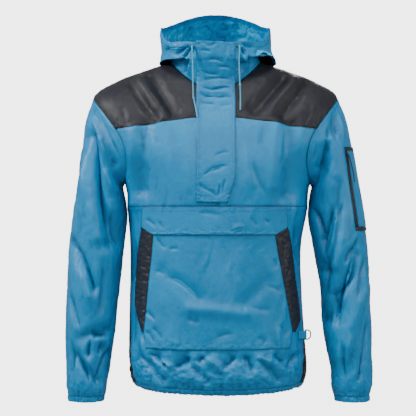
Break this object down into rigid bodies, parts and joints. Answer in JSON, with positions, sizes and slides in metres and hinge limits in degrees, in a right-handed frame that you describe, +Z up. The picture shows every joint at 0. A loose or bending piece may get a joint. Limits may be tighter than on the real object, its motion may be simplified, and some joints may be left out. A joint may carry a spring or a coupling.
{
  "type": "anorak pullover",
  "caption": "Hooded half-length pullover jacket of thin windproof cloth with a front pouch pocket, a flap, an arm pocket and gathered hem and cuffs, filled out as worn.",
  "frame": {"origin": "the middle of the neck opening, level with the inner ends of the shoulders, where the wearer holds the garment up", "axes": "+Z up towards the hood, -Y out of the front, +X towards the wearer's left sleeve"},
  "size_m": [0.654, 0.2919, 0.8376],
  "materials": {
    "blue_nylon": "thin plain-woven nylon with a soft sheen",
    "grey_nylon": "thin plain-woven nylon with a soft sheen",
    "blue_cord": "braided cord",
    "black_cord": "braided cord",
    "blue_plastic": "moulded",
    "black_plastic": "moulded",
    "dark_metal": "dark coated wire"
  },
  "bodies": {
    "garment": {"front_lower": "blue_nylon", "front_chest_left": "blue_nylon", "front_chest_right": "blue_nylon", "back_body": "blue_nylon", "hem_band": "blue_nylon", "sleeve_left": "blue_nylon", "sleeve_right": "blue_nylon", "cuff_left": "blue_nylon", "cuff_right": "blue_nylon", "hood_left": "blue_nylon", "hood_right": "blue_nylon", "hood_casing": "blue_nylon", "placket": "blue_nylon", "pocket_body": "blue_nylon", "pocket_flap": "blue_nylon", "sleeve_pocket": "blue_nylon", "ring_tab": "blue_nylon", "front_yoke_left": "grey_nylon", "front_yoke_right": "grey_nylon", "back_yoke": "grey_nylon", "side_panel_left": "grey_nylon", "side_panel_right": "grey_nylon", "hood_back": "grey_nylon", "pocket_trim_left": "grey_nylon", "pocket_trim_right": "grey_nylon", "sleeve_pocket_zip": "grey_nylon", "sleeve_pocket_back_tape": "grey_nylon", "sleeve_pocket_top_tape": "grey_nylon", "sleeve_pocket_bottom_tape": "grey_nylon", "drawcord_left": "blue_cord", "drawcord_knot_left": "blue_cord", "drawcord_tail_left": "blue_cord", "drawcord_right": "blue_cord", "drawcord_knot_right": "blue_cord", "drawcord_tail_right": "blue_cord", "eyelet_left": "blue_plastic", "eyelet_right": "blue_plastic", "zip_slider": "black_plastic", "zip_pull": "black_cord"},
    "ring": {"d_ring": "dark_metal"}
  },
  "joints": [
    {"name": "ring_hinge", "type": "hinge", "parent": "garment", "child": "ring", "pos_m": [0.1899, -0.0489, -0.5689], "axis": [0, 0, 1], "range_deg": [-90, 25]}
  ]
}
